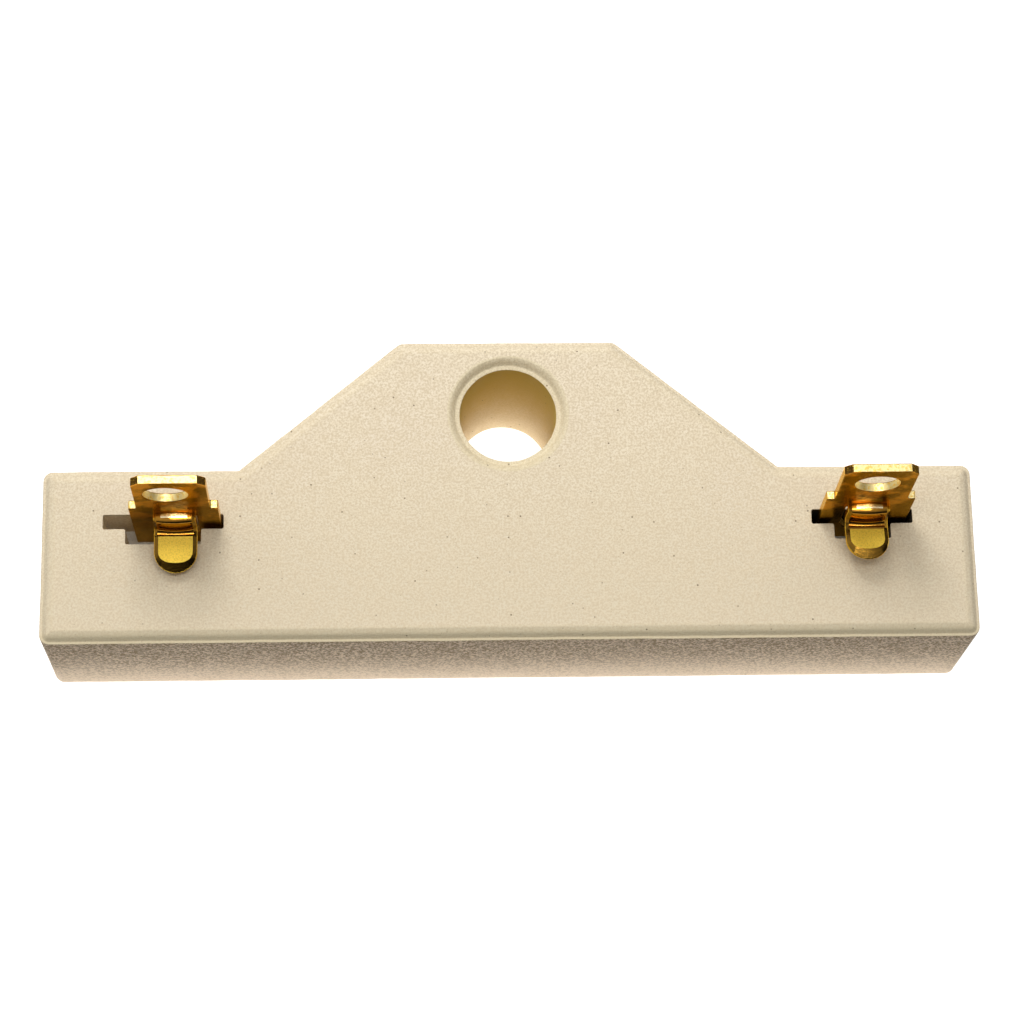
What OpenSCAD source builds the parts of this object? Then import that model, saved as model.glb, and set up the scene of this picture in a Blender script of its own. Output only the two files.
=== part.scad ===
// Ballast resistor for an ignition coil, lying on its back.
// X runs along the bar, Y towards the mounting tab and Z out of the front face.
// The origin is the axis of the mounting hole in the plane of the back face.

/* [Ceramic body] */
// Overall length of the bar
body_l = 104; // [80:0.5:140]
// Height of the bar, without the tab
bar_h = 20; // [17:0.5:26]
// Overall height, with the tab
body_h = 35; // [33:0.5:50]
// Width of the tab along its top edge
tab_top_w = 24.3; // [20:0.1:36]
// Width of the tab where it meets the bar
tab_base_w = 60.5; // [44:0.5:72]
// Radius of the upright corners
corner_r = 1.1; // [0.6:0.1:2]
// Width of the flat land outside the bevel of the front face
land_w = 0.45; // [0.2:0.05:0.9]
// Width and height of the bevel of the front face
bevel = 0.75; // [0.3:0.05:1.2]
// Width of the bevel of the back face
back_bevel_w = 1.75; // [0.3:0.05:2.2]
// Height of the bevel of the back face
back_bevel_h = 3.25; // [1:0.05:4]

/* [Mounting hole] */
// Diameter of the mounting hole
hole_d = 10.9; // [6:0.1:12]
// Distance from the tab's top edge to the hole's axis
hole_drop = 8.75; // [8:0.05:12]
// Width of the flat ring inside the bevel at the hole's mouth
hole_land_w = 0.5; // [0.2:0.05:0.8]
// Width of the bevel at the hole's mouth
hole_bevel_w = 0.63; // [0.3:0.01:1]

/* [Trough] */
// Length of each end wall of the trough in the back
end_wall = 5; // [3:0.5:8]
// Width of the trough
trough_w = 10.1; // [9.2:0.1:12]
// Depth of the trough from the back face
trough_d = 14.75; // [12:0.25:18]
// Thickness of the wall between the trough and the front face
front_wall = 6.4; // [4:0.1:9]
// Radius of the trough's corners
trough_r = 2; // [1:0.25:4]
// Step between the upper wall of the slots and of the trough
trough_step = 0.35; // [0:0.05:0.8]

/* [Terminal slots] */
// Distance from the bar's upper edge to the slots' upper wall
slot_drop = 5.35; // [4:0.05:8]
// Distance from the bar's left end to the middle of the left slot
left_slot_inset = 13.5; // [12.5:0.1:18]
// Distance from the bar's right end to the middle of the right slot
right_slot_inset = 12.65; // [12:0.05:18]
// Spare width of the left slot beside the terminal
left_play = 3.55; // [1:0.05:5]
// Spare width of the right slot beside the terminal
right_play = 1.5; // [1:0.05:5]
// Spare depth of the slots' arms, in front of and behind the terminal
arm_play = 0.65; // [0.4:0.05:1]
// Gap behind the terminal in the slot
back_gap = 0.25; // [0.1:0.05:0.3]
// Overhang of each arm of the T past its stem
arm_over = 2.5; // [1.5:0.1:3]
// Depth of the stem of the T below its arms
stem_h = 1.75; // [1:0.05:2.5]
// Gap between the left terminal and the inner end of its slot
left_end_gap = 0.25; // [0.1:0.05:0.5]

/* [Terminals] */
// Thickness of the brass sheet
sheet = 1; // [0.8:0.05:1.2]
// Width of the upper blade with the screw hole
blade_w = 8.05; // [7.5:0.05:9]
// Width of the shank that passes through the slot
shank_w = 9.8; // [9.2:0.1:11]
// Height of the blade above the front face
blade_h = 15.1; // [14.5:0.1:19]
// Height of the shoulders above the front face
shoulder_h = 6.2; // [5:0.1:7]
// Clip of the blade's top corners
blade_clip = 0.85; // [0.3:0.05:1.5]
// Diameter of the screw hole
screw_d = 4.9; // [3.5:0.1:5.2]
// Distance from the blade's top edge to the screw hole's axis
screw_drop = 4; // [3.5:0.1:5]
// Lean of the left blade towards the tab, in degrees
left_lean = 0; // [0:0.5:4]
// Lean of the right blade towards the tab, in degrees
right_lean = 1.5; // [0:0.5:4]
// Height of the right blade above the left one
right_lift = 0.9; // [0:0.1:2]
// Offset of the left screw hole from the middle of its blade
left_screw_shift = -0.5; // [-0.8:0.1:0.8]

/* [Tongues] */
// Width of the push-on tongue
tongue_w = 4.75; // [4:0.05:5.5]
// Reach of the left tongue in front of its blade
left_reach = 5.9; // [5:0.1:7]
// Reach of the right tongue in front of its blade
right_reach = 5.4; // [5:0.1:7]
// Height of the tongue's upper side above the front face
tongue_top = 2.1; // [1.8:0.1:2.6]
// Height of the tongue's root above the front face
tongue_root = 3.4; // [3.2:0.1:4.5]
// Thickness of the coined tongue
tongue_t = 0.85; // [0.6:0.05:0.95]
// Inner radius of the bend into the tongue
tongue_bend = 0.65; // [0.5:0.05:1]
// Radius of the tongue's tip in plan
tip_r = 2.5; // [2.5:0.1:4]
// Width of the coined bevel round the tongue
tongue_bevel_w = 0.5; // [0.2:0.05:0.8]
// Depth of the coined bevel round the tongue
tongue_bevel_h = 0.32; // [0.1:0.02:0.4]
// Rise of the left tongue towards its tip, in degrees
left_rise = -2; // [-3:1:16]
// Rise of the right tongue towards its tip, in degrees
right_rise = 13; // [-3:1:16]

/* [Resistance coil] */
// Diameter of the resistance wire
wire_d = 0.8; // [0.5:0.05:1]
// Mean diameter of the coil
coil_d = 6; // [4.5:0.1:7.2]
// Turns of the coil
turns = 33; // [20:1:40]
// Gap between the coil and the plane of the back face
coil_back_gap = 2.1; // [1:0.1:3]
// Gap between each terminal's tail and the coil's first turn
coil_end_gap = 1.4; // [1:0.1:3]
// Radius of the bend from each lead into the coil
lead_bend = 1.5; // [1:0.1:2.2]
// Length of lead that stands out past each terminal's hook
lead_end = 0.8; // [0.2:0.1:2]

/* [Tails and cement] */
// Width of the terminals' tails
tail_w = 4.75; // [3:0.05:6]
// Length of the full-width shank below the front wall
shank_below = 1; // [0.5:0.1:1.5]
// Height of the hook's free leg above the wire's axis
hook_leg = 1.2; // [0.4:0.1:1.6]
// Length of each cement pad along the bar
cement_l = 15; // [12:0.5:18]
// Gap between the cement pads and the coil
cement_gap = 0.4; // [0.2:0.1:0.8]
// Radius of the cement pads' inner corners
cement_r = 2; // [1:0.25:3]

/* [Hidden] */
$fn = 96;

// Colours of the four materials
ceramic_colour = [0.87, 0.81, 0.69];
brass_colour = [0.85, 0.65, 0.22];
wire_colour = [0.45, 0.44, 0.43];
cement_colour = [0.8, 0.78, 0.74];

// Reach of a cut past the surface that it opens
past = 1;
// Thickness of the thin layer at the small end of a bevel
skin = 0.01;
// Clearance of a seat that must not be an interference
seat = 0.02;

// Heights above the back face
body_t = trough_d + front_wall;
land_z = body_t - bevel;
coil_z = coil_back_gap + (coil_d + wire_d) / 2;
cement_z = coil_z + (coil_d + wire_d) / 2 + cement_gap;
plate_below = front_wall + shank_below;

// Distances from the bar's lower edge
hole_y = body_h - hole_drop;
slot_y = bar_h - slot_drop;
arm_h = sheet + arm_play;
plate_y = slot_y - back_gap - sheet;
trough_top = slot_y + trough_step;
lead_y = plate_y - wire_d / 2 - seat;
coil_y = lead_y - coil_d / 2;

// Positions along the bar
left_slot_x = left_slot_inset - body_l / 2;
right_slot_x = body_l / 2 - right_slot_inset;
left_slot_w = shank_w + left_play;
right_slot_w = shank_w + right_play;
left_x = left_slot_x + left_play / 2 - left_end_gap;
right_x = right_slot_x;

// Outlines of the bar and of the tab, each convex and listed anticlockwise. The tab's flanks run on
// into the bar, so that the two bevels meet in a mitre.
run_on = bar_h / 4;
flank = (tab_base_w - tab_top_w) / 2 / (body_h - bar_h);
run_on_w = tab_base_w + 2 * flank * run_on;
bar_outline = [[-body_l / 2, 0], [body_l / 2, 0], [body_l / 2, bar_h], [-body_l / 2, bar_h]];
tab_outline = [[-run_on_w / 2, bar_h - run_on], [run_on_w / 2, bar_h - run_on],
               [tab_top_w / 2, body_h], [-tab_top_w / 2, body_h]];

function unit(v) = v / norm(v);
function inward(a, b) = let (d = unit(b - a)) [-d[1], d[0]];
function before(i, pts) = pts[(i + len(pts) - 1) % len(pts)];
function after(i, pts) = pts[(i + 1) % len(pts)];

// The outline moved inwards by d: each corner lies on both moved edges
function inset(pts, d) = [for (i = [0:len(pts) - 1])
    let (n1 = inward(before(i, pts), pts[i]), n2 = inward(pts[i], after(i, pts)))
    pts[i] + d * (n1 + n2) / (1 + n1 * n2)];

// A convex outline moved inwards by d, with corners rounded to radius r
module rounded(pts, d, r) {
    centres = inset(pts, d + r);
    ends = [for (i = [0:len(pts) - 1], n = [inward(before(i, pts), pts[i]), inward(pts[i], after(i, pts))])
        centres[i] - r * n];
    polygon(ends);
    for (c = centres)
        translate(c)
            circle(r);
}

// The face of one outline, raised by a bevel above the land
module front_slab(pts) {
    small_r = max(corner_r - land_w, 0.1);
    hull() {
        translate([0, 0, land_z - bevel])
            linear_extrude(bevel)
                rounded(pts, land_w, small_r, $fn = 32);
        translate([0, 0, body_t - skin])
            linear_extrude(skin)
                rounded(pts, land_w + bevel, 0.1, $fn = 32);
    }
}

// The body of one outline up to the land, drawn in at the back by a bevel
module body_slab(pts) {
    hull() {
        linear_extrude(skin)
            rounded(pts, back_bevel_w, max(corner_r - back_bevel_w, 0.1), $fn = 32);
        translate([0, 0, back_bevel_h])
            linear_extrude(land_z - back_bevel_h)
                rounded(pts, 0, corner_r, $fn = 32);
    }
}

// The T-shaped slot through the front wall, with its arms at the top
module slot(w) {
    stem_w = w - 2 * arm_over;
    translate([0, 0, trough_d - past])
        linear_extrude(front_wall + 2 * past) {
            translate([-w / 2, slot_y - arm_h])
                square([w, arm_h]);
            translate([-stem_w / 2, slot_y - arm_h - stem_h])
                square([stem_w, arm_h + stem_h]);
        }
}

// The trough in the back that holds the coil
module trough() {
    l = body_l - 2 * end_wall;
    translate([0, 0, -past])
        linear_extrude(trough_d + past)
            rounded([[-l / 2, trough_top - trough_w], [l / 2, trough_top - trough_w],
                     [l / 2, trough_top], [-l / 2, trough_top]], 0, trough_r);
}

// The mounting hole, with a land and a bevel round its front mouth
module mounting_hole() {
    ring_r = hole_d / 2 + hole_land_w;
    translate([0, hole_y, 0]) {
        translate([0, 0, -past])
            cylinder(h = body_t + 2 * past, d = hole_d);
        translate([0, 0, land_z])
            cylinder(h = bevel + past, r1 = ring_r, r2 = ring_r + hole_bevel_w * (bevel + past) / bevel);
    }
}

module ceramic_body() {
    color(ceramic_colour)
        translate([0, -hole_y, 0])
            difference() {
                union() {
                    for (pts = [bar_outline, tab_outline]) {
                        body_slab(pts);
                        front_slab(pts);
                    }
                }
                mounting_hole();
                trough();
                translate([left_slot_x, 0, 0])
                    slot(left_slot_w);
                translate([right_slot_x, 0, 0])
                    slot(right_slot_w);
            }
}

// A quarter ring or less in the plane of a sheet's section, from angle a0 round to a1
module bend(inner, outer, a0, a1) {
    far = 2 * outer;
    mid = (a0 + a1) / 2;
    difference() {
        intersection() {
            circle(outer);
            polygon([[0, 0], far * [cos(a0), sin(a0)], far * [cos(mid), sin(mid)],
                     far * [cos(a1), sin(a1)]]);
        }
        circle(inner);
    }
}

// Turns a section drawn in Y and Z into a strip of width w along X
module strip(w) {
    translate([-w / 2, 0, 0])
        rotate([90, 0, 90])
            linear_extrude(w)
                children();
}

// The plate of a terminal, with its front side at y = 0 and the front face at z = 0: one sheet with a
// crease at the front face, stamped to the outline of the shank and the blade
module plate(lean, lift, reach, screw_shift) {
    top = blade_h + lift + past;
    intersection() {
        strip(shank_w + past)
            polygon([[0, -plate_below], [sheet, -plate_below], [sheet, -sheet * tan(lean / 2)],
                     top * [sin(lean), cos(lean)] + sheet * [cos(lean), -sin(lean)],
                     top * [sin(lean), cos(lean)], [0, 0]]);
        rotate([-lean, 0, 0])
            translate([0, 2 * sheet, lift])
                rotate([90, 0, 0])
                    linear_extrude(3 * sheet)
                        stamping(plate_below + lift + past, reach, screw_shift);
    }
}

// The outline in X and Z that the plate is stamped to, from depth below up to the blade's top edge
module stamping(below, reach, screw_shift) {
    difference() {
        polygon([[-shank_w / 2, -below], [shank_w / 2, -below], [shank_w / 2, shoulder_h],
                 [blade_w / 2, shoulder_h], [blade_w / 2, blade_h - blade_clip],
                 [blade_w / 2 - blade_clip, blade_h], [blade_clip - blade_w / 2, blade_h],
                 [-blade_w / 2, blade_h - blade_clip], [-blade_w / 2, shoulder_h],
                 [-shank_w / 2, shoulder_h]]);
        translate([screw_shift, blade_h - screw_drop])
            circle(d = screw_d);
        window(reach);
    }
}

// The window that the tongue was lanced from, as long as the tongue was before it was bent
module window(reach) {
    bent = 90 * PI / 180 * (tongue_bend + sheet / 2) + 90 * PI / 180 * sheet / 2;
    flat = reach - sheet - tongue_bend;
    depth = bent + flat + tongue_root - tongue_top - tongue_bend;
    translate([-tongue_w / 2 - seat, tongue_root - depth + tip_r])
        square([tongue_w + 2 * seat, depth - tip_r]);
    intersection() {
        translate([0, tongue_root - depth + tip_r])
            circle(tip_r);
        translate([-tongue_w / 2 - seat, tongue_root - depth - past])
            square([tongue_w + 2 * seat, tip_r + 2 * past]);
    }
}

// The tongue: it leaves the plate at its root, drops in front of it and bends forward
module tongue(reach, rise) {
    drop = tongue_root - tongue_top - tongue_bend;
    strip(tongue_w) {
        translate([0, tongue_root])
            bend(0, sheet, 90, 180);
        translate([-sheet, tongue_root - drop])
            square([sheet, drop]);
        translate([-sheet - tongue_bend, tongue_root - drop])
            bend(tongue_bend, tongue_bend + sheet, -90 - rise, 0);
    }
    translate([0, -sheet - tongue_bend, tongue_root - drop])
        rotate([-rise, 0, 0])
            translate([0, 0, -tongue_bend])
                finger(reach - sheet - tongue_bend);
}

// The coined finger, with its upper side at z = 0 and its tip at y = -l
module finger(l) {
    top_w = tongue_w - 2 * tongue_bevel_w;
    intersection() {
        rotate([90, 0, 0])
            linear_extrude(l + past)
                polygon([[-tongue_w / 2, -tongue_t], [tongue_w / 2, -tongue_t],
                         [tongue_w / 2, -tongue_bevel_h], [top_w / 2, 0], [-top_w / 2, 0],
                         [-tongue_w / 2, -tongue_bevel_h]]);
        union() {
            translate([-tongue_w / 2, tip_r - l, -tongue_t])
                cube([tongue_w, l - tip_r, tongue_t]);
            translate([0, tip_r - l, -tongue_t])
                cylinder(h = tongue_t - tongue_bevel_h, r = tip_r);
            translate([0, tip_r - l, -tongue_bevel_h])
                cylinder(h = tongue_bevel_h, r1 = tip_r, r2 = tip_r - tongue_bevel_w);
        }
    }
}

// The narrow tail below the plate, down to the hook round the coil's lead
module tail() {
    hook_z = coil_z - body_t;
    hook_r = wire_d / 2 + seat;
    translate([-tail_w / 2, 0, hook_z])
        cube([tail_w, sheet, -hook_z - plate_below]);
    translate([0, -hook_r, hook_z])
        strip(tail_w) {
            bend(hook_r, hook_r + sheet, -180, 0);
            translate([-hook_r - sheet, 0])
                square([sheet, hook_leg]);
        }
}

// One stamped terminal, with its front side at y = 0 and the front face at z = 0
module terminal(lean, lift, reach, rise, screw_shift) {
    plate(lean, lift, reach, screw_shift);
    tail();
    rotate([-lean, 0, 0])
        translate([0, 0, lift])
            tongue(reach, rise);
}

// Puts a terminal or its cement in its place at x
module at_slot(x) {
    translate([x, plate_y - hole_y, body_t])
        children();
}

module terminal_left() {
    color(brass_colour)
        at_slot(left_x)
            terminal(left_lean, 0, left_reach, left_rise, left_screw_shift);
}

module terminal_right() {
    color(brass_colour)
        at_slot(right_x)
            terminal(right_lean, right_lift, right_reach, right_rise, 0);
}

// A pad of cement across the trough, under the slot at x, cast round the plate and the tail
module cement(x, reach) {
    l = cement_l;
    difference() {
        translate([x, -hole_y, cement_z])
            linear_extrude(trough_d - cement_z)
                rounded([[-l / 2, trough_top - trough_w], [l / 2, trough_top - trough_w],
                         [l / 2, trough_top], [-l / 2, trough_top]], 0, cement_r);
        at_slot(x) {
            plate(0, 0, reach, 0);
            tail();
        }
    }
}

module cement_left() {
    color(cement_colour)
        cement(left_x, left_reach);
}

module cement_right() {
    color(cement_colour)
        cement(right_x, right_reach);
}

// The wire's route is laid out flat, with x along the bar and s round the coil: a straight lead, an
// arc up to the helix angle, the helix, an arc back and a straight lead.
wire_r = wire_d / 2;
coil_r = coil_d / 2;
first_x = left_x + tail_w / 2 + coil_end_gap;
last_x = right_x - tail_w / 2 - coil_end_gap;
span_x = last_x - first_x;
span_s = turns * PI * coil_d;
rise_s = span_s - 2 * lead_bend;
helix_a = atan2(rise_s, span_x) + asin(2 * lead_bend / norm([span_x, rise_s]));
arc_x = lead_bend * sin(helix_a);
arc_s = lead_bend * (1 - cos(helix_a));
lead_in_x = left_x - tail_w / 2 - lead_end;
lead_out_x = right_x + tail_w / 2 + lead_end;

turn_steps = 12;
arc_steps = 4;
wire_sides = 6;
helix_steps = turns * turn_steps;
flat_route = concat(
    [[lead_in_x, 0], [(lead_in_x + first_x) / 2, 0]],
    [for (i = [0:arc_steps - 1])
        let (a = helix_a * i / arc_steps)
        [first_x + lead_bend * sin(a), lead_bend * (1 - cos(a))]],
    [for (i = [0:helix_steps])
        let (k = i / helix_steps)
        [first_x + arc_x + (span_x - 2 * arc_x) * k, arc_s + (span_s - 2 * arc_s) * k]],
    [for (i = [arc_steps - 1:-1:0])
        let (a = helix_a * i / arc_steps)
        [last_x - lead_bend * sin(a), span_s - lead_bend * (1 - cos(a))]],
    [[(lead_out_x + last_x) / 2, span_s], [lead_out_x, span_s]]);

// A point of the flat route wrapped round the coil's axis at radius r, and the outward direction
function turn_of(p) = p[1] / coil_r * 180 / PI;
function out_of(p) = [0, cos(turn_of(p)), sin(turn_of(p))];
function wrapped(p) = [p[0], 0, 0] + coil_r * out_of(p);
route = [for (p = flat_route) wrapped(p)];
function along(i) = unit(route[min(i + 1, len(route) - 1)] - route[max(i - 1, 0)]);
function ring(i) = let (t = along(i), b = unit(cross(t, out_of(flat_route[i]))), n = cross(b, t))
    [for (j = [0:wire_sides - 1])
        route[i] + wire_r * (cos(360 * j / wire_sides) * n + sin(360 * j / wire_sides) * b)];

module resistance_coil() {
    n = len(route);
    points = [for (i = [0:n - 1]) each ring(i)];
    sides = [for (i = [0:n - 2], j = [0:wire_sides - 1])
        let (a = i * wire_sides, b = a + wire_sides, k = (j + 1) % wire_sides)
        each [[a + j, a + k, b + k], [a + j, b + k, b + j]]];
    first_end = [for (j = [wire_sides - 1:-1:0]) j];
    last_end = [for (j = [0:wire_sides - 1]) (n - 1) * wire_sides + j];
    color(wire_colour)
        translate([0, coil_y - hole_y, coil_z])
            polyhedron(points, concat(sides, [first_end, last_end]));
}

ceramic_body();
terminal_left();
terminal_right();
resistance_coil();
cement_left();
cement_right();
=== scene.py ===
import math
import bmesh
import bpy
from mathutils import Euler, Matrix, Vector, noise
from mathutils.geometry import delaunay_2d_cdt


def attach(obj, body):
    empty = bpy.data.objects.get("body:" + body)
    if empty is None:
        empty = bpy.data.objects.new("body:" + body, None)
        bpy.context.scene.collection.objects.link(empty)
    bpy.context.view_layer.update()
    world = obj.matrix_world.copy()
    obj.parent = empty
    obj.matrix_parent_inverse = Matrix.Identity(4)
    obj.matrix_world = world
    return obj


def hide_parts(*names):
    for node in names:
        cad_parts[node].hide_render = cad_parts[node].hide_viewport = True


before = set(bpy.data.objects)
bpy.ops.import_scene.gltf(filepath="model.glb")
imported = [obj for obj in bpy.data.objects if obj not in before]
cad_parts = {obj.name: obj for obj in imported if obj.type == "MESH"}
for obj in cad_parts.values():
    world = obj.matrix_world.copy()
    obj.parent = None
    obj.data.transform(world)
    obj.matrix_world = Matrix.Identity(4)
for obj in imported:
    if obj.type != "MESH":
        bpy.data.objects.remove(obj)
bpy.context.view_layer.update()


# The ceramic body: one pressed and fired piece of cream steatite, a bar with a mounting tab. The die
# leaves a narrow land and a bevel round the smooth front face, sandy side faces, a trough in the back
# for the coil, a hole for the mounting bolt and two T-shaped slots for the terminals.
MM = 0.001
HOLE_Y = 26.25                     # from the bar's lower edge to the mounting hole's axis
BODY_L, BAR_H, BODY_H = 104.0, 20.0, 35.0
TAB_TOP, TAB_BASE = 24.3, 60.5
LAND_Z, FACE_Z = 20.4, 21.15
LAND_W, BEVEL, BACK_W, BACK_H = 0.45, 0.75, 1.75, 3.25
CORNER_R, NECK_R = 1.1, 0.5
HOLE_R, RING_R, MOUTH_R = 5.45, 5.95, 6.58
TROUGH_Z, TROUGH_R = 14.75, 2.0
TROUGH = (-47.0, 4.9, 47.0, 15.0)  # left, low, right and high wall of the trough
LEFT_X, RIGHT_X = -36.975, 39.35   # the terminals' middles
SLOTS = ((-38.5, 13.35), (RIGHT_X, 11.3))   # middle and width of each slot
ARM_TOP, ARM_LOW, STEM_LOW, ARM_OVER = 14.65, 13.0, 11.25, 2.5

# Finish numbers of the ceramic's faces, which tell its material how each one was made, and which slot's
# walls are painted with shade.
PRESSED, DIE_SIDE, SHADED_SLOT_WALL, BORE, BEVELLED, MOUTH = 0.0, 1.0, 0.75, 0.5, 0.2, 0.3


class Socket:
    """A shader socket that sums and products can be written with."""

    def __init__(self, tree, out=None):
        self.tree, self.out = tree, out

    def node(self, kind, settings, inputs, out=0):
        """Adds a node with its settings and inputs, and returns one of its outputs."""
        made = self.tree.nodes.new("ShaderNode" + kind)
        for key, value in settings.items():
            setattr(made, key, value)
        for key, value in inputs.items():
            if isinstance(value, Socket):
                self.tree.links.new(value.out, made.inputs[key])
            else:
                made.inputs[key].default_value = value
        return Socket(self.tree, made.outputs[out] if made.outputs else None)

    def math(self, operation, a, b):
        return self.node("Math", {"operation": operation}, {0: a, 1: b})

    def __add__(self, other):
        return self.math("ADD", self, other)

    def __sub__(self, other):
        return self.math("SUBTRACT", self, other)

    def __rsub__(self, other):
        return self.math("SUBTRACT", other, self)

    def __mul__(self, other):
        return self.math("MULTIPLY", self, other)

    __radd__, __rmul__ = __add__, __mul__

    def step(self, low, high, to_low=0.0, to_high=1.0):
        return self.node("MapRange", {"interpolation_type": "SMOOTHSTEP"},
                         {0: self, 1: low, 2: high, 3: to_low, 4: to_high})

    def same(self, value):
        """1 where the socket has this value, else 0."""
        return self.node("Math", {"operation": "COMPARE"}, {0: self, 1: value, 2: 0.05})

    def blend(self, a, b):
        return self.node("Mix", {"data_type": "RGBA"}, {0: self, 6: a, 7: b}, 2)

    def grain(self, place, size, detail, roughness=0.5):
        """Noise about 0.5 with features of the given size in millimetres."""
        return self.node("TexNoise", {}, {"Vector": place, "Scale": 1.0 / size, "Detail": detail,
                                          "Roughness": roughness})

    def specks(self, place, size):
        """Distance from the nearest speck's middle and a random number for that speck."""
        cell = {"Vector": place, "Scale": 1.0 / size, "Randomness": 1.0}
        colour = self.node("TexVoronoi", {}, cell, 1)
        near = self.node("TexVoronoi", {}, cell, 0) * size
        return near, self.node("SeparateColor", {}, {0: colour}, 0)


def new_material(name):
    """A material, the pen that writes its nodes, the shaded point's place in millimetres, and a
    function that feeds its shader's inputs."""
    made = bpy.data.materials.new(name)
    made.use_nodes = True
    tree = made.node_tree
    shader = tree.nodes["Principled BSDF"]
    pen = Socket(tree)
    here = pen.node("TexCoord", {}, {}, 3)
    place = pen.node("VectorMath", {"operation": "SCALE"}, {0: here, 3: 1.0 / MM})

    def feed(**values):
        for key, value in values.items():
            target = shader.inputs[key.replace("_", " ")]
            if isinstance(value, Socket):
                tree.links.new(value.out, target)
            else:
                target.default_value = value
    return made, pen, place, feed


def bump(pen, height, distance):
    """A Bump node's normal from a height between 0 and 1 that stands for distance millimetres."""
    return pen.node("Bump", {}, {"Strength": 1.0, "Distance": distance * MM, "Height": height})


def rounded(corners, radii, inset, step=1.2, turns=6):
    """A closed outline moved inwards by inset, with rounded corners. The number of points doesn't
    depend on the inset, so that two insets of one outline can be joined by quads."""
    count = len(corners)
    lines = []
    for i, a in enumerate(corners):
        b = corners[(i + 1) % count]
        along = (Vector(b) - Vector(a)).normalized()
        lines.append((Vector(a), Vector(b), along, Vector((-along.y, along.x))))
    arcs = []
    for i in range(count):
        _, corner, d0, n0 = lines[i - 1]
        _, _, d1, n1 = lines[i]
        moved = corner + (n0 + n1) * (inset / (1 + n0.dot(n1)))
        convex = d0.x * d1.y - d0.y * d1.x > 0
        radius = max(radii[i] - inset if convex else radii[i] + inset, 0.08)
        angle = d0.angle(d1)
        reach = radius * math.tan(angle / 2)
        middle = moved - d0 * reach + (n0 if convex else -n0) * radius
        start = moved - d0 * reach - middle
        arc = []
        for k in range(turns + 1):
            turn = Matrix.Rotation(angle * k / turns * (1 if convex else -1), 2)
            arc.append(middle + turn @ start)
        arcs.append(arc)
    points = []
    for i in range(count):
        points += arcs[i]
        a, b = arcs[i][-1], arcs[(i + 1) % count][0]
        parts = max(1, round((Vector(corners[(i + 1) % count]) - Vector(corners[i])).length / step))
        points += [a.lerp(b, k / parts) for k in range(1, parts)]
    return [(p.x, p.y) for p in points]


def circle(x, y, radius, count=112):
    return [(x + radius * math.cos(2 * math.pi * k / count),
             y + radius * math.sin(2 * math.pi * k / count)) for k in range(count)]


class Skin:
    """A closed mesh put together from rings of points, the walls between them and flat caps. A cap
    is laid out in the two coordinates named in axes, and its front is where they turn anticlockwise."""
    axes = (0, 1)

    def __init__(self):
        self.points, self.faces, self.finish = [], [], []

    def add(self, points):
        """Adds points and returns their numbers, which stand for the ring."""
        first = len(self.points)
        self.points += points
        return list(range(first, len(self.points)))

    def ring(self, loop, z, place=lambda x, y, z: (x, y, z)):
        return self.add([place(x, y, z) for x, y in loop])

    def wall(self, rings, inside_out=False, finish=0.0):
        """Quads between each ring and the next; a ring that runs anticlockwise and rises faces out.
        The finish number, or one for each face round the ring, tells the material how it was made."""
        for low, high in zip(rings, rings[1:]):
            for k in range(len(low)):
                a, b, c, d = low[k - 1], low[k], high[k], high[k - 1]
                self.faces.append((d, c, b, a) if inside_out else (a, b, c, d))
                self.finish.append(finish[k] if isinstance(finish, list) else finish)

    def cap(self, rings, up=True, finish=0.0):
        """A flat face with holes: the first ring is its outline and the others are its holes."""
        flat = [i for ring in rings for i in ring]
        spots = [Vector([self.points[i][axis] for axis in self.axes]) for i in flat]
        borders = []
        for ring in rings:
            first = len(borders)
            borders += [(first + k, first + (k + 1) % len(ring)) for k in range(len(ring))]
        _, _, triangles, sources, _, _ = delaunay_2d_cdt(spots, borders, [], 0, 1e-7)
        for triangle in triangles:
            a, b, c = (sources[i][0] for i in triangle)
            x, y = (spots[a] + spots[b] + spots[c]) / 3
            crossed = 0
            for p, q in borders:
                (px, py), (qx, qy) = spots[p], spots[q]
                crossed += (py > y) != (qy > y) and x < px + (y - py) * (qx - px) / (qy - py)
            if crossed % 2:
                a, b, c = flat[a], flat[b], flat[c]
                self.faces.append((a, b, c) if up else (c, b, a))
                self.finish.append(finish)

    def close(self, ring):
        """One face over a whole ring, as a cut end has."""
        self.faces.append(tuple(ring))
        self.finish.append(1.0)

    def piece(self, name, material, nodes, slot, crease=32.0):
        """Makes the object in metres, shades it, and has it stand for its CAD nodes."""
        mesh = bpy.data.meshes.new(name)
        mesh.from_pydata([Vector(p) * MM for p in self.points], [], self.faces)
        mesh.attributes.new("finish", "FLOAT", "FACE").data.foreach_set("value", self.finish)
        shell = bmesh.new()
        shell.from_mesh(mesh)
        bmesh.ops.remove_doubles(shell, verts=shell.verts, dist=1e-7)
        shell.to_mesh(mesh)
        shell.free()
        mesh.polygons.foreach_set("use_smooth", [True] * len(mesh.polygons))
        mesh.set_sharp_from_angle(angle=math.radians(crease))
        made = bpy.data.objects.new(name, mesh)
        bpy.context.scene.collection.objects.link(made)
        mesh.materials.append(material)
        flat = made.modifiers.new("flat_faces", "WEIGHTED_NORMAL")
        flat.keep_sharp = True
        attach(made, "root")
        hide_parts(*nodes)


def waver(x, y, z, size, reach):
    """A small shift of a point, the same wherever the same point comes up."""
    spot = Vector((x, y, z)) / size
    return noise.noise(spot) * reach, noise.noise(spot + Vector((31.7, 12.4, 5.3))) * reach


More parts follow.
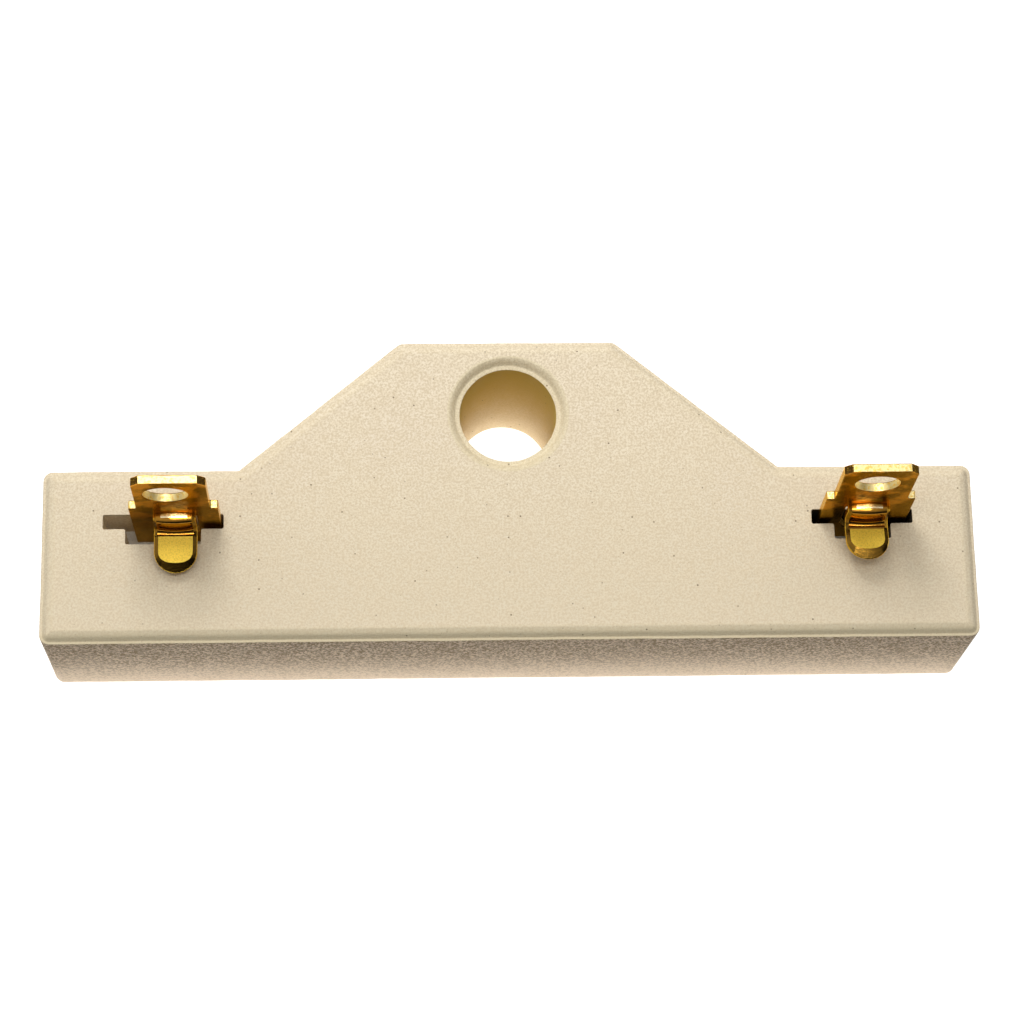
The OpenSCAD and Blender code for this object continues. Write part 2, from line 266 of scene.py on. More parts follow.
def soft_profile(stops, softness=0.16, parts=3):
    """An outline of (inset, height) stops with its inner corners rounded off; a stop's third value is
    its own softness."""
    out = [stops[0][:2]]
    for a, b, c in zip(stops, stops[1:], stops[2:]):
        own = b[2] if len(b) > 2 else softness
        a, b, c = Vector(a[:2]), Vector(b[:2]), Vector(c[:2])
        reach = min(own, (a - b).length * 0.45, (c - b).length * 0.45)
        start, end = b + (a - b).normalized() * reach, b + (c - b).normalized() * reach
        for k in range(parts + 1):
            t = k / parts
            out.append(tuple((1 - t) ** 2 * start + 2 * t * (1 - t) * b + t * t * end))
    return out + [stops[-1][:2]]


def body_outline(inset):
    half, top, base = BODY_L / 2, TAB_TOP / 2, TAB_BASE / 2
    corners = [(-half, 0), (half, 0), (half, BAR_H), (base, BAR_H), (top, BODY_H), (-top, BODY_H),
               (-base, BAR_H), (-half, BAR_H)]
    radii = [CORNER_R, CORNER_R, CORNER_R, NECK_R, CORNER_R, CORNER_R, NECK_R, CORNER_R]
    return [(x, y - HOLE_Y) for x, y in rounded(corners, radii, inset)]


def slot_outline(middle, width, spread):
    left, right = middle - width / 2, middle + width / 2
    corners = [(left + ARM_OVER, STEM_LOW), (right - ARM_OVER, STEM_LOW), (right - ARM_OVER, ARM_LOW),
               (right, ARM_LOW), (right, ARM_TOP), (left, ARM_TOP), (left, ARM_LOW),
               (left + ARM_OVER, ARM_LOW)]
    return [(x, y - HOLE_Y) for x, y in rounded(corners, [0.22] * 8, -spread, turns=4)]


def trough_outline(spread):
    left, low, right, high = TROUGH
    corners = [(left, low), (right, low), (right, high), (left, high)]
    return [(x, y - HOLE_Y) for x, y in rounded(corners, [TROUGH_R] * 4, -spread, turns=10)]


def cast(loop, z, reach=0.035):
    """A loop with the small unevenness that pressing, firing or shearing leaves."""
    out = []
    for x, y in loop:
        dx, dy = waver(x, y, z, 2.2, reach)
        ex, ey = waver(x, y, z + 50, 0.6, reach * 0.5)
        out.append((x + dx + ex, y + dy + ey))
    return out


body = Skin()
outer = soft_profile([(BACK_W + 0.3, 0.0), (BACK_W, 0.0), (0.06, BACK_H, 0.4), (0.055, 12.0),
                      (0.05, LAND_Z - 0.02, 0.14), (LAND_W - 0.08, LAND_Z, 0.1),
                      (LAND_W + 0.36, FACE_Z - 0.25, 0.25), (LAND_W + BEVEL + 0.2, FACE_Z, 0.2),
                      (LAND_W + BEVEL + 0.45, FACE_Z)], parts=4)
outer_rings = [body.ring(cast(body_outline(d), z), z) for d, z in outer]
sides = sum(z < LAND_Z - 0.03 for _, z in outer)
body.wall(outer_rings[:sides], finish=DIE_SIDE)
body.wall(outer_rings[sides - 1:], finish=BEVELLED)
bore = soft_profile([(HOLE_R + 0.3, 0.0), (HOLE_R, 0.0), (HOLE_R, LAND_Z), (RING_R, LAND_Z),
                     (MOUTH_R - 0.25, FACE_Z - 0.25, 0.2), (MOUTH_R + 0.08, FACE_Z, 0.2),
                     (MOUTH_R + 0.3, FACE_Z)], softness=0.12)
bore_rings = [body.ring(cast(circle(0, 0, r), z, 0.03), z) for r, z in bore]
sides = sum(z < LAND_Z - 0.05 for _, z in bore)
body.wall(bore_rings[:sides], inside_out=True, finish=BORE)
body.wall(bore_rings[sides - 1:], inside_out=True, finish=MOUTH)
pit = soft_profile([(0.3, 0.0), (0.0, 0.0, 0.25), (0.0, TROUGH_Z), (-0.06, TROUGH_Z)])
pit_rings = [body.ring(cast(trough_outline(d), z), z) for d, z in pit]
body.wall(pit_rings, inside_out=True)
slot_rings = []
for (middle, width), inside in zip(SLOTS, (PRESSED, SHADED_SLOT_WALL)):
    shaft = soft_profile([(0.06, TROUGH_Z), (0.0, TROUGH_Z), (0.0, FACE_Z), (0.2, FACE_Z)],
                         softness=0.12)
    rings = [body.ring(cast(slot_outline(middle, width, d), z, 0.025), z) for d, z in shaft]
    lip = len(rings) // 2
    body.wall(rings[:lip + 1], inside_out=True, finish=inside)
    body.wall(rings[lip:], inside_out=True)
    slot_rings.append(rings)
body.cap([outer_rings[-1], bore_rings[-1], slot_rings[0][-1], slot_rings[1][-1]])
body.cap([outer_rings[0], bore_rings[0], pit_rings[0]], up=False)
body.cap([pit_rings[-1], slot_rings[0][0], slot_rings[1][0]], up=False)

# Its colour is a warm cream with faint clouds, sandy grains and a scatter of small dark iron specks.
# The side faces, which slid along the die, are rougher, greyer and pinker than the front face.
steatite, pen, place, feed = new_material("fired_steatite")
clouds = pen.grain(place, 14.0, 3.0)
mottle = pen.grain(place, 1.3, 3.0, 0.6)
sand = pen.grain(place, 0.24, 2.0, 0.65)
coarse = pen.grain(place, 0.30, 3.0, 0.65)
finish = pen.node("Attribute", {"attribute_name": "finish"}, {}, 2)
side, slot_shade, bore = finish.same(DIE_SIDE), finish.same(SHADED_SLOT_WALL), finish.same(BORE)
bevel, mouth = finish.same(BEVELLED), finish.same(MOUTH)
up_body, height = pen.node("SeparateXYZ", {}, {0: place}, 1), pen.node("SeparateXYZ", {}, {0: place}, 2)
level, deep = height.step(2.0, LAND_Z - 1.0), height.step(1.0, LAND_Z - 3.5)
tab, low = up_body.step(-24.0, 8.0), up_body.step(-25.6, -24.6, 1.0, 0.0)
cream = clouds.step(0.35, 0.65).blend((0.87, 0.76, 0.575, 1), (0.85, 0.74, 0.58, 1))
# Painted shade: the face is coloured darker away from the tab, towards the bar's lower edge, where the
# light falls off.
cream = ((1 - tab) * 0.8).blend(cream, (0.71, 0.62, 0.45, 1))
cream = (mottle.step(0.3, 0.7) * 0.5).blend(cream, (0.76, 0.64, 0.455, 1))
cream = sand.step(0.38, 0.62).blend(cream, (0.668, 0.555, 0.388, 1))
# Painted shade: the bevels and the hole's mouth are coloured a darker olive, the bevel along the lower
# edge most, as they face away from the light.
cream = (bevel * (low * 0.25 + 0.08) + mouth * 0.3).blend(cream, (0.66, 0.57, 0.33, 1))
cream = (side * 0.8).blend(cream, (0.92, 0.73, 0.535, 1))
# Painted shade: the bore's wall is coloured darker and browner, most of all towards the face, so it
# reads lighter towards the bottom.
cream = (bore * 0.6).blend(cream, (0.55, 0.42, 0.24, 1))
cream = (bore * (level * 0.85 + 0.05)).blend(cream, (0.67, 0.485, 0.095, 1))
# Painted shade: the side faces' dark grains grow denser and darker towards the land, so the upper part
# of each side reads darker.
grains = (coarse + deep * 0.06).step(0.51, 0.58)
cream = (side * grains * (deep * 0.75 + 0.25)).blend(cream, (0.41, 0.29, 0.17, 1))
cream = (side * level * (1 - coarse.step(0.36, 0.44)) * 0.55).blend(cream, (0.93, 0.77, 0.56, 1))
# Painted shade: the right slot's walls are coloured almost black, for the shade inside it.
cream = (slot_shade * 0.93).blend(cream, (0.02, 0.015, 0.01, 1))
near, pick = pen.specks(place, 1.15)
large = (1 - (near + sand * 0.12).step(0.10, 0.20)) * pick.step(0.66, 0.74)
near, pick = pen.specks(place, 0.55)
small = (1 - (near + sand * 0.08).step(0.06, 0.13)) * pick.step(0.50, 0.6)
cream = (small * 0.55).blend(cream, (0.38, 0.28, 0.15, 1))
cream = (large * 0.85).blend(cream, (0.15, 0.10, 0.055, 1))
relief = sand * 0.35 + coarse * side * 1.3 + mottle * 0.25 - large * 0.25
feed(Base_Color=cream, Roughness=mottle.step(0.3, 0.7, 0.78, 0.92), Specular_IOR_Level=0.15,
     Normal=bump(pen, relief, 0.10))
body.piece("body_of_steatite", steatite, ["ceramic_body"], "ceramic")


# The two terminals: each is stamped from 1 mm brass sheet. A narrow tail hooks round the coil's lead,
# the plate's shank passes through the slot, and above the face stand its blade with a screw hole and
# a push-on tongue, lanced from the plate, bent forward and coined thinner with a bevel round it.
SHEET, BLADE_W, SHANK_W = 1.0, 8.05, 9.8
BLADE_H, SHOULDER_H, CLIP = 15.1, 6.2, 0.85
SCREW_R, SCREW_DROP = 2.45, 4.0
TONGUE_W, TONGUE_T, TONGUE_TOP, TONGUE_ROOT = 4.75, 0.85, 2.1, 3.4
BEND_R, TIP_R, HOOD_LIFT = 0.65, 2.375, 0.6
COIN_W, COIN_H, TIP_IN = 0.48, 0.32, 1.1
PLATE_Y, PLATE_BELOW = -12.85, 7.4
TAIL_W, WIRE_R, COIL_Z, HOOK_LEG = 4.75, 0.4, 5.5, 1.2
SIDE_GAP, CREST_R, DROP_R = 0.02, 1.4, 0.32
CLIMB, FALL = 0.21, 0.38           # the crest's arc before and after its top, in radians

# Finish numbers of the brass's faces: what the press did to each one, and where a highlight or shade is
# painted on it.
PLAIN, BENT, CREST_HIGHLIGHT, COINED, COIN_EDGE = 0.0, 0.15, 0.9, 0.3, 0.45
ROLLED, SHEARED_AND_LIT, DARK_CORNER = 0.6, 1.0, 0.8


def leaning(x, lean):
    """Takes a point of a terminal to the frame: across the plate, back from its front side and up
    from the front face. What is above the face leans back."""
    turn = Matrix.Rotation(-math.radians(lean), 3, "X")

    def to_frame(across, back, up):
        p = Vector((across, back, up))
        if up > 0:
            p = turn @ p
        return x + p.x, PLATE_Y + p.y, FACE_Z + p.z
    return to_frame


def tongue_path(v, rise):
    """The tongue's upper side at distance v along it: its place back and up, and its direction. It
    leaves the plate a little upwards, goes over a broad crest, drops and bends out to its flat, which
    rises by rise degrees."""
    way_out = [(CREST_R, -CLIMB, FALL), (DROP_R, FALL, math.pi / 2)]
    back, up = 0.0, TONGUE_ROOT + HOOD_LIFT + SHEET - CREST_R * (1 - math.cos(CLIMB))
    for radius, start, end in way_out:
        a = min(start + v / radius, end)
        back -= radius * (math.sin(a) - math.sin(start))
        up -= radius * (math.cos(start) - math.cos(a))
        v -= radius * (end - start)
        if v <= 0:
            return back, up, (-math.cos(a), -math.sin(a))
    drop = up - TONGUE_TOP - BEND_R
    if v <= drop:
        return back, up - v, (0.0, -1.0)
    a = min((v - drop) / BEND_R, math.pi / 2 + math.radians(rise))
    way = (-math.sin(a), -math.cos(a))
    on = max(v - drop - BEND_R * (math.pi / 2 + math.radians(rise)), 0.0)
    return (back - BEND_R * (1 - math.cos(a)) + way[0] * on,
            TONGUE_TOP + BEND_R - BEND_R * math.sin(a) + way[1] * on, way)


def tongue_stretches(reach, rise):
    """How long the tongue's crest, drop, lower bend and flat are, when it reaches this far out from
    the plate's front side and its flat rises by so many degrees."""
    over = CREST_R * (CLIMB + FALL) + DROP_R * (math.pi / 2 - FALL)
    under = (math.pi / 2 + math.radians(rise)) * BEND_R
    drop = tongue_path(over, rise)[1] - TONGUE_TOP - BEND_R
    return over, drop, under, reach - SHEET - BEND_R


def plate(skin, to_frame, lift, window_low, screw_shift):
    """The upright plate with its shoulders, clipped corners and screw hole, and the window that the
    tongue was lanced from."""
    half, shank, gap = BLADE_W / 2, SHANK_W / 2, TONGUE_W / 2 + SIDE_GAP
    top, shoulder, root = BLADE_H + lift, SHOULDER_H + lift, TONGUE_ROOT + HOOD_LIFT + lift
    outline = [(-shank, -PLATE_BELOW), (shank, -PLATE_BELOW), (shank, shoulder), (half, shoulder),
               (half, top - CLIP), (half - CLIP, top), (CLIP - half, top), (-half, top - CLIP),
               (-half, shoulder), (-shank, shoulder)]
    radii = [0.3, 0.3, 0.2, 0.15, 0.2, 0.2, 0.2, 0.2, 0.15, 0.2]
    window = [(-gap, window_low + gap), (-gap * 0.62, window_low + gap * 0.25), (0, window_low),
              (gap * 0.62, window_low + gap * 0.25), (gap, window_low + gap), (gap, root - 0.4),
              (gap * 0.5, root), (-gap * 0.5, root), (-gap, root - 0.4)]
    edges = []
    ends = rounded(outline, radii, 0.0, 1.0, 6)
    for (ax, ay), (bx, by) in zip(ends[-1:] + ends, ends):
        corner = min(abs(ax), abs(bx)) > half - CLIP - 0.05 and min(ay, by) > top - CLIP - 0.05
        # Painted highlight: of the outline's cut edges only the level ones, which catch the light from
        # above, are given the pale sheared colour.
        edges.append(DARK_CORNER if corner else SHEARED_AND_LIT if abs(bx - ax) > abs(by - ay) else PLAIN)
    edge = soft_profile([(0.22, 0.0), (0.02, 0.0), (0.02, SHEET), (0.22, SHEET)],
                        softness=0.09, parts=6)
    side = len(edge) // 2 - 1      # the ring where the sheared side begins

    def plate_place(across, up, back):
        return to_frame(across, back, up)

    sheets = []
    for loop, cut in ((lambda d: rounded(outline, radii, d, 1.0, 6), False),
                      (lambda d: circle(screw_shift, top - SCREW_DROP, SCREW_R + d, 72), True),
                      (lambda d: rounded(window, [0.25] * 9, -d, 1.0, 6), True)):
        rings = [skin.ring(cast(loop(d), back, 0.012), back, plate_place) for d, back in edge]
        skin.wall(rings[:side + 1], inside_out=not cut, finish=ROLLED)
        skin.wall(rings[side:side + 2], inside_out=not cut, finish=SHEARED_AND_LIT if cut else edges)
        skin.wall(rings[side + 1:], inside_out=not cut, finish=ROLLED)
        sheets.append(rings)
    skin.cap([rings[0] for rings in sheets], finish=ROLLED)
    skin.cap([rings[-1] for rings in sheets], up=False, finish=ROLLED)


def tongue(skin, to_frame, lift, rise, stretches):
    """The push-on tongue, laid out flat as stations along v and then wrapped over its path."""
    over, drop, under, flat = stretches
    start_flat = over + drop + under
    half_w, tip_v = TONGUE_W / 2, start_flat + flat - TIP_R
    stations = [-0.25] + [over * k / 18 for k in range(19)] + [over + drop * k / 3 for k in range(1, 4)]
    stations += [over + drop + under * k / 9 for k in range(1, 10)]
    stations += [start_flat + step for step in (0.08, 0.12, 0.17, 0.22, 0.3)]
    stations += [start_flat + 0.3 + (tip_v - start_flat - 0.3) * k / 4 for k in range(1, 5)]
    stations = [(v, None) for v in stations] + [(tip_v, math.radians(6 * k)) for k in range(1, 16)]
    crest, fall, coined_from = 5, 10, 35   # stations where the painted highlight of the crest, the fall and the flat begin

    def tongue_place(across, v, depth_in):
        """Where a point of the tongue laid out flat comes to lie. The tongue is crowned across its
        hood and belled out between its two bends."""
        back, up, way = tongue_path(max(v, 0.0), rise)
        normal = (way[1], -way[0])
        a = across / half_w
        hood = min(max((start_flat - v) / (under + drop), 0.0), 1.0)
        belly = min(max((start_flat + 0.1 - v) / under, 0.0), 1.0) * min(max(v / over, 0.0), 1.0) * 0.28
        belly -= max(1 - max(v, 0.0) / over / 0.9, 0.0) * 0.25
        if v < 0:  # the root, which runs back into the plate
            back -= v
        back -= normal[0] * depth_in + belly * (1 - a * a)
        up -= normal[1] * depth_in - hood * (0.10 - 0.36 * a * a) - 0.03 * (1 - a * a)
        return to_frame(across * (1 - 0.03 * hood), back, up + lift - 0.08)

    def section(v, turn):
        """The tongue's outline at v, with the coined rim of its flat. Turn runs round the tip."""
        coin = min(max((v - start_flat - 0.08) / 0.14, 0.0), 1.0)
        rim, step = COIN_W - 0.1 + 0.1 * coin, COIN_H - 0.06 + 0.06 * coin
        if turn is not None:
            step += 0.32 * math.sin(turn) ** 2
        thick = SHEET * 0.97 + (TONGUE_T - SHEET * 0.97) * coin

        def edge_point(inset):
            if turn is None:
                return half_w - inset, v
            tip = inset * (1 + (TIP_IN * math.sin(turn) if inset == rim else 0.0))
            return (TIP_R - inset) * math.cos(turn), v + (TIP_R - tip) * math.sin(turn)

        right = [(*edge_point(rim), 0.10 * coin), (*edge_point(0.05), step),
                 (*edge_point(0.0), step + 0.06), (*edge_point(0.0), thick - 0.12),
                 (*edge_point(0.12), thick)]
        (upper_x, *upper), (lower_x, *lower) = right[0], right[-1]
        row = [(upper_x * (-1 + k / 4), *upper) for k in range(8)]
        under_row = [(-lower_x * (-1 + k / 4), *lower) for k in range(8)]
        left = [(-x, y, z) for x, y, z in reversed(right)]
        return row + right[:-1] + under_row + left[:-1]

    rings = [skin.add([tongue_place(*p) for p in section(v, turn)]) for v, turn in stations]
    for part, upper_side in ((rings[:crest + 1], [BENT] * 8),
                             (rings[crest:fall + 1], [BENT] + [CREST_HIGHLIGHT] * 6 + [BENT]),
                             (rings[fall:coined_from + 1], [BENT] * 8),
                             (rings[coined_from:], [COINED] * 8)):
        skin.wall(part, inside_out=True, finish=[COIN_EDGE] + upper_side + [COIN_EDGE] + [PLAIN] * 14)
    skin.close(rings[0])


def tail(skin, to_frame):
    """The tail and its hook round the lead, one strip that runs down, round and up again."""
    hook_r, rim, w = WIRE_R + SIDE_GAP, 0.1, TAIL_W / 2
    hook_z, tail_z = COIL_Z - FACE_Z, 0.6 - PLATE_BELOW
    front, rear = [], []
    for k in range(5):
        z = tail_z + (hook_z - tail_z) * k / 4
        front.append((0.0, z))
        rear.append((SHEET, z))
    for k in range(1, 15):
        a = -math.pi * k / 14
        front.append((-hook_r + hook_r * math.cos(a), hook_z + hook_r * math.sin(a)))
        rear.append((-hook_r + (hook_r + SHEET) * math.cos(a), hook_z + (hook_r + SHEET) * math.sin(a)))
    front.append((-2 * hook_r, hook_z + HOOK_LEG))
    rear.append((-2 * hook_r - SHEET, hook_z + HOOK_LEG))
    rings = []
    for f, r in zip(front, rear):
        f, r = Vector(f), Vector(r)
        ring = []
        for side_x, low_p, high_p in ((-1, f, r), (1, r, f)):
            inward = (high_p - low_p).normalized() * rim
            ring += [(side_x * (w - rim), *low_p), (side_x * w, *(low_p + inward)),
                     (side_x * w, *(high_p - inward)), (side_x * (w - rim), *high_p)]
        rings.append(skin.add([to_frame(*p) for p in ring]))
    skin.wall(rings)
    skin.close(reversed(rings[0]))
    skin.close(rings[-1])


def terminal(name, node, x, lean, lift, reach, rise, screw_shift, material):
    """One stamping at x, set lift too high and leaning back by lean degrees. Screw_shift is how far
    its screw hole lies off the middle."""
    skin, to_frame, stretches = Skin(), leaning(x, lean), tongue_stretches(reach, rise)
    skin.axes = (0, 2)
    plate(skin, to_frame, lift, TONGUE_ROOT - sum(stretches) + lift, screw_shift)
    tongue(skin, to_frame, lift, rise, stretches)
    tail(skin, to_frame)
    skin.piece(name, material, [node], "brass", 20.0)


# The brass is bright but handled: satin from rolling, with fine scratches along the strip, a brownish
# tarnish in clouds and duller patches. The tarnish on the plates also stands for the shaded ceramic they
# mirror and darkens to painted shade near the face. The tongue's bends and coined bevel are darkened as
# painted shade, the hood's crest and the level cut edges are made pale as painted highlights, and the
# clipped corners are coloured near black.
brass, pen, place, feed = new_material("stamped_brass")
clouds = pen.grain(place, 2.4, 3.0, 0.6)
fine = pen.grain(place, 0.28, 3.0, 0.6)
stretched = pen.node("Mapping", {"vector_type": "POINT"}, {0: place, 3: (0.35, 1.0, 6.0)})
lines = pen.grain(stretched, 0.5, 3.0, 0.65)
finish = pen.node("Attribute", {"attribute_name": "finish"}, {}, 2)
coined, bevel, rolled = finish.same(COINED), finish.same(COIN_EDGE), finish.same(ROLLED)
bent, crest_highlight = finish.same(BENT), finish.same(CREST_HIGHLIGHT)
dark_corner, sheared_and_lit = finish.same(DARK_CORNER), finish.same(SHEARED_AND_LIT)
grain = pen.grain(place, 0.16, 2.0, 0.6)
gold = clouds.step(0.42, 0.68).blend((0.86, 0.56, 0.075, 1), (0.74, 0.42, 0.05, 1))
# Painted reflection: the brown tarnish given to the plates also stands for the shaded ceramic that they
# mirror.
tarnish_and_dark_reflection = clouds.step(0.38, 0.54).blend((0.62, 0.245, 0.036, 1), (0.11, 0.030, 0.006, 1))
# Painted shade: low on the plates, near the face, the tarnish turns almost black.
shade_near_face = pen.node("SeparateXYZ", {}, {0: place}, 2).step(21.5, 27.0, 0.8, 0.0)
gold = (rolled * 0.9).blend(gold, shade_near_face.blend(tarnish_and_dark_reflection, (0.16, 0.06, 0.01, 1)))
# Painted shade: the tongue's bends are coloured dark brown, for the dark front that they mirror.
gold = (bent * 0.85).blend(gold, (0.30, 0.115, 0.016, 1))
# Painted highlight: the hood's crest is coloured pale so that its gleam reads white.
gold = (crest_highlight * 0.9).blend(gold, (0.93, 0.84, 0.62, 1))
gold = (fine.step(0.5, 0.7) * 0.35).blend(gold, (0.60, 0.34, 0.05, 1))
gold = (coined * 0.9).blend(gold, (0.97, 0.665, 0.075, 1))
gold = (coined * grain.step(0.45, 0.62) * 0.55).blend(gold, (0.60, 0.40, 0.04, 1))
# Painted shade: the coined bevel round the tongue's flat is coloured dark brown, for the dark that it
# mirrors.
gold = (bevel * 0.9).blend(gold, (0.16, 0.075, 0.012, 1))
# Cut brass is pale: on the holes' walls as real bright metal, on the plate's level edges as a painted
# highlight.
gold = (sheared_and_lit * (1 - fine.step(0.50, 0.62) * 0.75)).blend(gold, (0.79, 0.65, 0.31, 1))
# The clipped corners are coloured near black, broken by lighter grains.
gold = (dark_corner * (1 - grain.step(0.6, 0.7))).blend(gold, (0.10, 0.05, 0.012, 1))
dull = clouds * 0.08 + lines * 0.08 + 0.10 - bent * 0.05 + sheared_and_lit * 0.25 + coined * 0.28
relief = grain * coined + (fine * (sheared_and_lit * 0.8 + 0.5) + lines * 0.4 + clouds * 0.8) * (
    1 - (bent + crest_highlight) * 0.8)
feed(Base_Color=gold, Metallic=1 - coined * 0.75, Specular_Tint=(1.0, 0.80, 0.45, 1),
     Roughness=dull + dark_corner * 0.4, Normal=bump(pen, relief, 0.035))
terminal("left_terminal", "terminal_left", LEFT_X, lean=0.0, lift=0.0, reach=5.9, rise=-2.0,
         screw_shift=-0.5, material=brass)
terminal("right_terminal", "terminal_right", RIGHT_X, lean=1.5, lift=0.9, reach=5.4, rise=13.0,
         screw_shift=0.0, material=brass)


# The resistance coil: one length of drawn nickel-chromium wire, wound on a mandrel to 33 open turns,
# with a straight lead at each end that lies in a terminal's hook.
COIL_R, TURNS, LEAD_BEND = 3.0, 33, 1.5
LEAD_L, LEAD_PAST = 1.4, 0.8       # a lead from its hook to the coil, and beyond the hook
TURN_PARTS, WIRE_SIDES = 28, 10
COIL_Y = PLATE_Y - WIRE_R - SIDE_GAP - COIL_R
FIRST_X, LAST_X = LEFT_X + TAIL_W / 2 + LEAD_L, RIGHT_X - TAIL_W / 2 - LEAD_L
LEAD_IN, LEAD_OUT = LEFT_X - TAIL_W / 2 - LEAD_PAST, RIGHT_X + TAIL_W / 2 + LEAD_PAST
span_x, span_s = LAST_X - FIRST_X, TURNS * 2 * math.pi * COIL_R
rise_s = span_s - 2 * LEAD_BEND
climb = math.atan2(rise_s, span_x) + math.asin(2 * LEAD_BEND / math.hypot(span_x, rise_s))
arc_x, arc_s = LEAD_BEND * math.sin(climb), LEAD_BEND * (1 - math.cos(climb))
# the wire's route on the unrolled mandrel: how far along it and how far round it
flat_route = [(LEAD_IN, 0.0), ((LEAD_IN + FIRST_X) / 2, 0.0)]
flat_route += [(FIRST_X + LEAD_BEND * math.sin(climb * k / 8),
                LEAD_BEND * (1 - math.cos(climb * k / 8))) for k in range(8)]
parts = TURNS * TURN_PARTS
flat_route += [(FIRST_X + arc_x + (span_x - 2 * arc_x) * k / parts,
                arc_s + (span_s - 2 * arc_s) * k / parts) for k in range(parts + 1)]
flat_route += [(LAST_X - LEAD_BEND * math.sin(climb * k / 8),
                span_s - LEAD_BEND * (1 - math.cos(climb * k / 8))) for k in range(7, -1, -1)]
flat_route += [((LEAD_OUT + LAST_X) / 2, span_s), (LEAD_OUT, span_s)]
wire = Skin()
route, outs = [], []
for x, s in flat_route:
    a = s / COIL_R
    outs.append(Vector((0, math.cos(a), math.sin(a))))
    route.append(Vector((x, COIL_Y, COIL_Z)) + outs[-1] * COIL_R)
rings = []
for i, p in enumerate(route):
    way = (route[min(i + 1, len(route) - 1)] - route[max(i - 1, 0)]).normalized()
    b = way.cross(outs[i]).normalized()
    n = b.cross(way)
    turns = [2 * math.pi * j / WIRE_SIDES for j in range(WIRE_SIDES)]
    rings.append(wire.add([p + (n * math.cos(a) + b * math.sin(a)) * WIRE_R for a in turns]))
wire.wall(rings)
wire.close(reversed(rings[0]))
wire.close(rings[-1])
nichrome, pen, place, feed = new_material("oxidised_resistance_wire")
heat = pen.grain(place, 5.0, 2.0)
draw = pen.grain(place, 0.3, 3.0, 0.6)
grey = heat.step(0.35, 0.7).blend((0.30, 0.28, 0.26, 1), (0.15, 0.125, 0.115, 1))
feed(Base_Color=grey, Metallic=0.9, Roughness=draw * 0.25 + 0.3, Normal=bump(pen, draw, 0.015))
wire.piece("coil_of_resistance_wire", nichrome, ["resistance_coil"], "resistance_wire", 60.0)


# The two pads of cement: a grey-white refractory paste, pressed into the trough from behind round each
# shank and left as the spatula left it, with a lumpy face and a raised edge along the walls.
PAD_Z, PAD_HALF = 9.3, 7.5
paste, pen, place, feed = new_material("refractory_cement")
lump = pen.grain(place, 1.1, 4.0, 0.65)
grit = pen.grain(place, 0.18, 2.0, 0.6)
chalk = lump.step(0.35, 0.7).blend((0.60, 0.55, 0.46, 1), (0.72, 0.67, 0.58, 1))
chalk = (grit.step(0.55, 0.7) * 0.5).blend(chalk, (0.45, 0.40, 0.33, 1))
feed(Base_Color=chalk, Roughness=0.92, Normal=bump(pen, lump * 0.8 + grit * 0.4, 0.15))
for name, x in (("left", LEFT_X), ("right", RIGHT_X)):
    pad = Skin()
    low_y, high_y = TROUGH[1] - HOLE_Y, TROUGH[3] - HOLE_Y
    loop_corners = [(x - PAD_HALF, low_y), (x + PAD_HALF, low_y), (x + PAD_HALF, high_y),
                    (x - PAD_HALF, high_y)]
    rings = []
    for ring_inset, sink in ((0.0, 0.0), (0.0, 0.55), (0.35, 0.85), (0.9, 1.1), (1.6, 1.2), (2.4, 1.15),
                             (3.2, 1.1), (4.0, 1.05), (4.7, 1.0)):
        spots = []
        outline = rounded(loop_corners, [TROUGH_R] * 4, ring_inset, 0.6, 8)
        for px, py in cast(outline, sink, 0.06 * min(ring_inset, 1)):
            end = max(0.0, 1 - (PAD_HALF - abs(px - x)) / 1.5)
            lumps = noise.noise(Vector((px, py, 3.0)) / 1.7) * 0.5
            lumps += noise.noise(Vector((px, py, 9.0)) / 0.6) * 0.15
            shrink = 0.45 + 0.45 * noise.noise(Vector((py, x, 1.0)) / 1.3)   # only at the short ends
            px += (-1 if px > x else 1) * end * max(shrink, 0.0)
            z = max(PAD_Z + 0.02, PAD_Z + 1.25 - sink + lumps + 0.4) if rings else TROUGH_Z
            spots.append((px, py, z))
        rings.append(pad.add(spots))
    pad.wall(rings, inside_out=True)
    pad.close(rings[0])
    pad.cap([rings[-1]], up=False)
    pad.piece("cement_pad_" + name, paste, ["cement_" + name], "cement", 50.0)


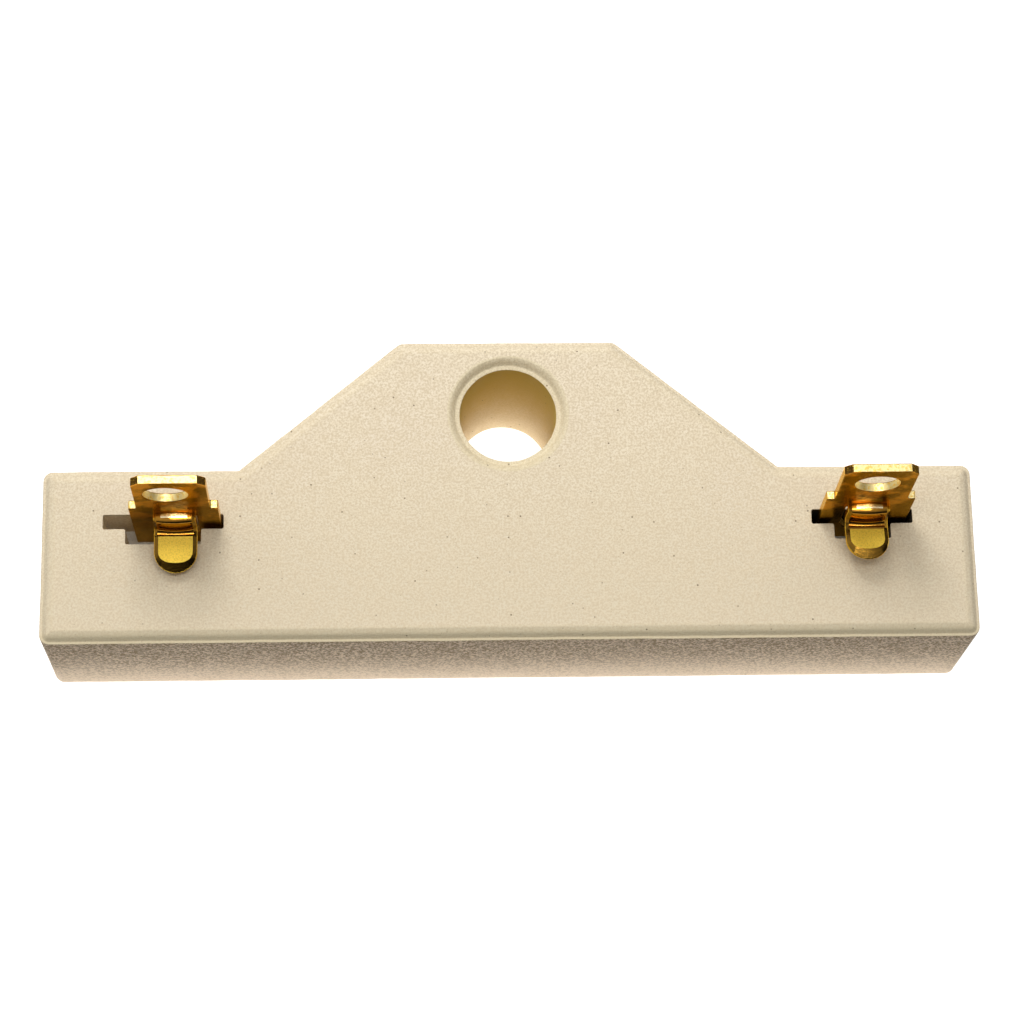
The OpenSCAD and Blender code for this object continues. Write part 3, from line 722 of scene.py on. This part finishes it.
# The studio: a floor that looks white to the camera and in gloss, a sky that is bright above and
# behind, a soft box behind, a strip lamp overhead for the gleam on the tongues, a light table under
# the sides and the hole, and the camera where the outline says that the photograph was taken from.
bpy.ops.mesh.primitive_plane_add(size=8.0, location=(0, 0, -0.0001))
floor = bpy.context.object
floor.name = "studio_floor"
ground = bpy.data.materials.new("studio_floor")
ground.use_nodes = True
tree = ground.node_tree
tree.nodes.clear()
pen = Socket(tree)
seen = pen.math("MAXIMUM", pen.node("LightPath", {}, {}, "Is Camera Ray"),
                pen.node("LightPath", {}, {}, "Is Glossy Ray"))
seen = pen.math("MAXIMUM", seen, pen.node("LightPath", {}, {}, "Is Transmission Ray"))
matt = pen.node("BsdfDiffuse", {}, {0: (0.42, 0.42, 0.42, 1)})
lit = pen.node("Emission", {}, {0: (1, 1, 1, 1), 1: seen * 0.95})
pen.node("OutputMaterial", {}, {0: pen.node("AddShader", {}, {0: matt, 1: lit})})
floor.data.materials.append(ground)

world = bpy.data.worlds.new("studio")
bpy.context.scene.world = world
world.use_nodes = True
tree = world.node_tree
tree.nodes.clear()
pen = Socket(tree)
towards = pen.node("VectorMath", {"operation": "DOT_PRODUCT"},
                   {0: pen.node("TexCoord", {}, {}, 0), 1: Vector((-0.22, 0.50, 0.84)).normalized()}, 1)
sky = pen.node("Background", {}, {0: (1, 1, 1, 1), 1: towards.step(0.10, 0.9, 0.02, 0.86)})
white = pen.node("Background", {}, {0: (1, 1, 1, 1), 1: 1.0})
both = pen.node("MixShader", {}, {0: pen.node("LightPath", {}, {}, "Is Camera Ray"), 1: sky, 2: white})
pen.node("OutputWorld", {}, {0: both})


def lamp(name, place, aim, size, watts):
    light = bpy.data.lights.new(name, "AREA")
    light.shape, light.size, light.size_y = "RECTANGLE", size[0], size[1]
    light.energy = watts
    made = bpy.data.objects.new(name, light)
    made.location = place
    made.rotation_euler = (Vector(aim) - Vector(place)).to_track_quat("-Z", "Y").to_euler()
    made.visible_camera = False
    bpy.context.scene.collection.objects.link(made)


lamp("soft_box", (-0.048, 0.150, 0.300), (0, -0.01, 0.02), (0.10, 0.10), 0.42)
lamp("strip_lamp", (0, -0.032, 0.350), (0, -0.01, 0.02), (0.20, 0.05), 0.25)
lamp("light_table", (0, -0.00875, -0.00005), (0, -0.00875, 1), (0.128, 0.059), 0.0455)

camera = bpy.data.cameras.new("camera")
camera.sensor_width = 36.0
camera.lens = 107.8
camera.clip_start, camera.clip_end = 0.01, 20.0
view = bpy.data.objects.new("camera", camera)
view.location = (-0.013028, -0.111618, 0.346156)
view.rotation_euler = Euler((0.299618, -0.034187, -0.018936), "XYZ")
bpy.context.scene.collection.objects.link(view)
bpy.context.scene.camera = view
bpy.context.scene.view_settings.view_transform = "Standard"
